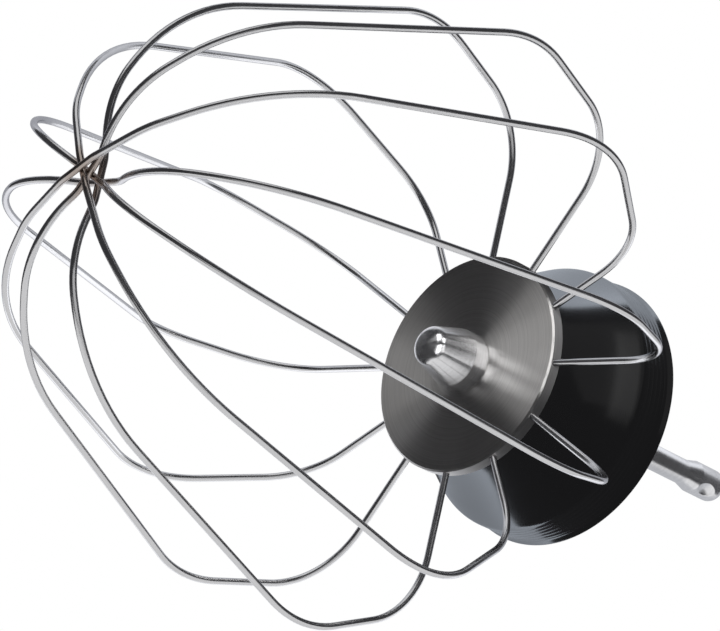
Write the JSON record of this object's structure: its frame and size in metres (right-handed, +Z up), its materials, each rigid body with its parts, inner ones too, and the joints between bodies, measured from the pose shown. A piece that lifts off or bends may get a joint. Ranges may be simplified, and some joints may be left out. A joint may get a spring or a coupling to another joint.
{
  "type": "mixer whisk",
  "caption": "Balloon whisk for a stand mixer: a cage of bent steel wire loops on a turned hub disc, with a bell-shaped splash cap and a drive shaft.",
  "frame": {"origin": "on the shaft's axis, in the middle of the drive head, level with its detent", "axes": "+Z up the shaft, as the whisk hangs in the mixer, with the cage below; +X and -X run along the third loop; the picture is taken from -Y and from below"},
  "size_m": [0.1254, 0.125, 0.1899],
  "materials": {
    "polished_wire": "polished",
    "turned_steel": "fine turned",
    "shaft_steel": "satin",
    "black_plastic": "gloss"
  },
  "bodies": {
    "root": {"drive_shaft": "shaft_steel", "hub_disc": "turned_steel", "splash_cap": "black_plastic", "wire_loop_1": "polished_wire", "wire_loop_2": "polished_wire", "wire_loop_3": "polished_wire", "wire_loop_4": "polished_wire", "wire_loop_5": "polished_wire", "wire_loop_6": "polished_wire"}
  },
  "joints": []
}
